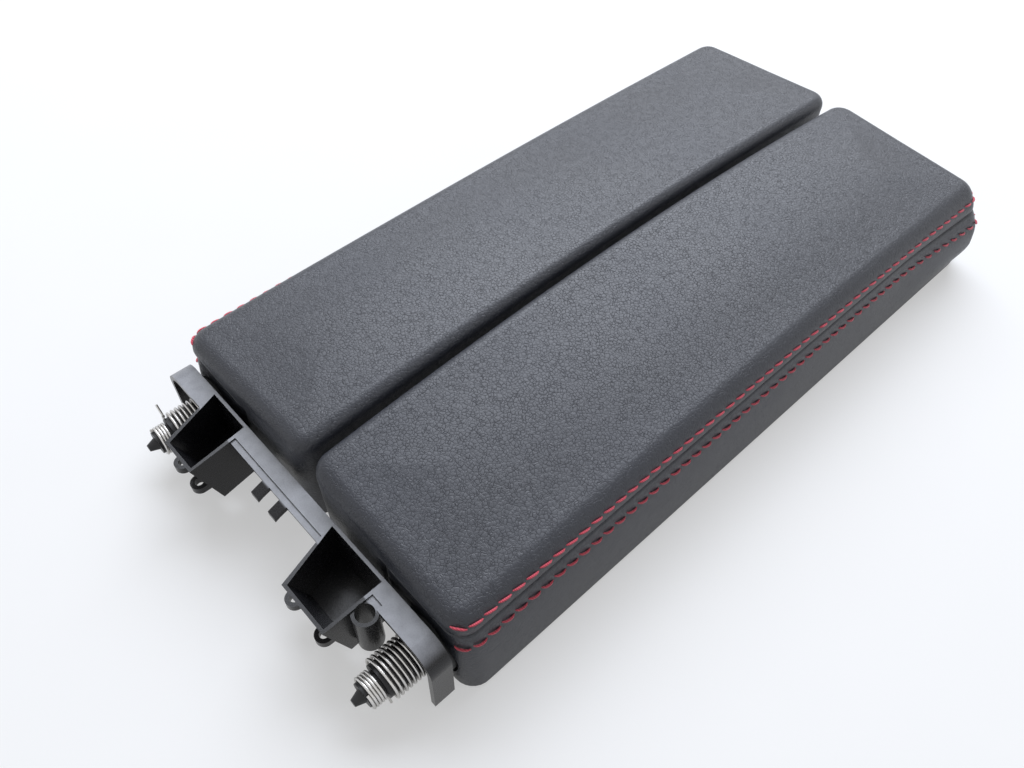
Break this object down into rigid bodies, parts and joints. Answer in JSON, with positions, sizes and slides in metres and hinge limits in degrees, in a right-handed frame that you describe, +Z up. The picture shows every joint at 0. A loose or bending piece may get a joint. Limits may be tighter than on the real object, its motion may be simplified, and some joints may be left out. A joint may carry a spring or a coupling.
{
  "type": "car armrest",
  "caption": "Centre-console armrest with padded leather lids that part along the middle and swing outwards on a moulded hinge carrier with torsion springs.",
  "frame": {"origin": "under the middle of the part, on the surface that the lids stand on", "axes": "+X across the lids, +Y along the lids away from the hinge carrier, +Z up"},
  "size_m": [0.1616, 0.335, 0.0549],
  "materials": {
    "leather": "fine pebbled grain, satin",
    "thread": "twisted sewing thread",
    "foam": "open-cell foam",
    "frame_plastic": "fine moulded texture",
    "panel_plastic": "grained moulding",
    "screw_steel": "zinc plated",
    "rubber": "matt",
    "plate_steel": "zinc plated",
    "pin_steel": "ground",
    "core_plastic": "smooth moulding",
    "carrier_plastic": "semi-gloss moulding",
    "bush_plastic": "natural acetal",
    "spring_steel": "bright drawn wire"
  },
  "bodies": {
    "carrier": {"hinge_carrier": "carrier_plastic", "left_pivot_bush": "bush_plastic", "left_outer_spring": "spring_steel", "left_inner_spring": "spring_steel", "right_pivot_bush": "bush_plastic", "right_outer_spring": "spring_steel", "right_inner_spring": "spring_steel"},
    "left_lid": {"left_top_cover": "leather", "left_side_cover": "leather", "left_upper_stitches": "thread", "left_lower_stitches": "thread", "left_foam_pad": "foam", "left_lid_frame": "frame_plastic", "left_underside_panel": "panel_plastic", "left_panel_screws": "screw_steel", "left_bump_stops": "rubber", "left_strike_plate": "plate_steel", "left_pivot_pin": "pin_steel", "left_spring_core": "core_plastic", "left_rear_pivot_pin": "pin_steel"},
    "right_lid": {"right_top_cover": "leather", "right_side_cover": "leather", "right_upper_stitches": "thread", "right_lower_stitches": "thread", "right_foam_pad": "foam", "right_lid_frame": "frame_plastic", "right_underside_panel": "panel_plastic", "right_panel_screws": "screw_steel", "right_bump_stops": "rubber", "right_strike_plate": "plate_steel", "right_pivot_pin": "pin_steel", "right_spring_core": "core_plastic", "right_rear_pivot_pin": "pin_steel"}
  },
  "joints": [
    {"name": "left_lid_hinge", "type": "hinge", "parent": "carrier", "child": "left_lid", "pos_m": [-0.062, 0, 0.0145], "axis": [0, -1, 0], "range_deg": [0, 75], "deforming": ["left_outer_spring", "left_inner_spring"]},
    {"name": "right_lid_hinge", "type": "hinge", "parent": "carrier", "child": "right_lid", "pos_m": [0.062, 0, 0.0145], "axis": [0, 1, 0], "range_deg": [0, 75], "deforming": ["right_outer_spring", "right_inner_spring"]}
  ]
}
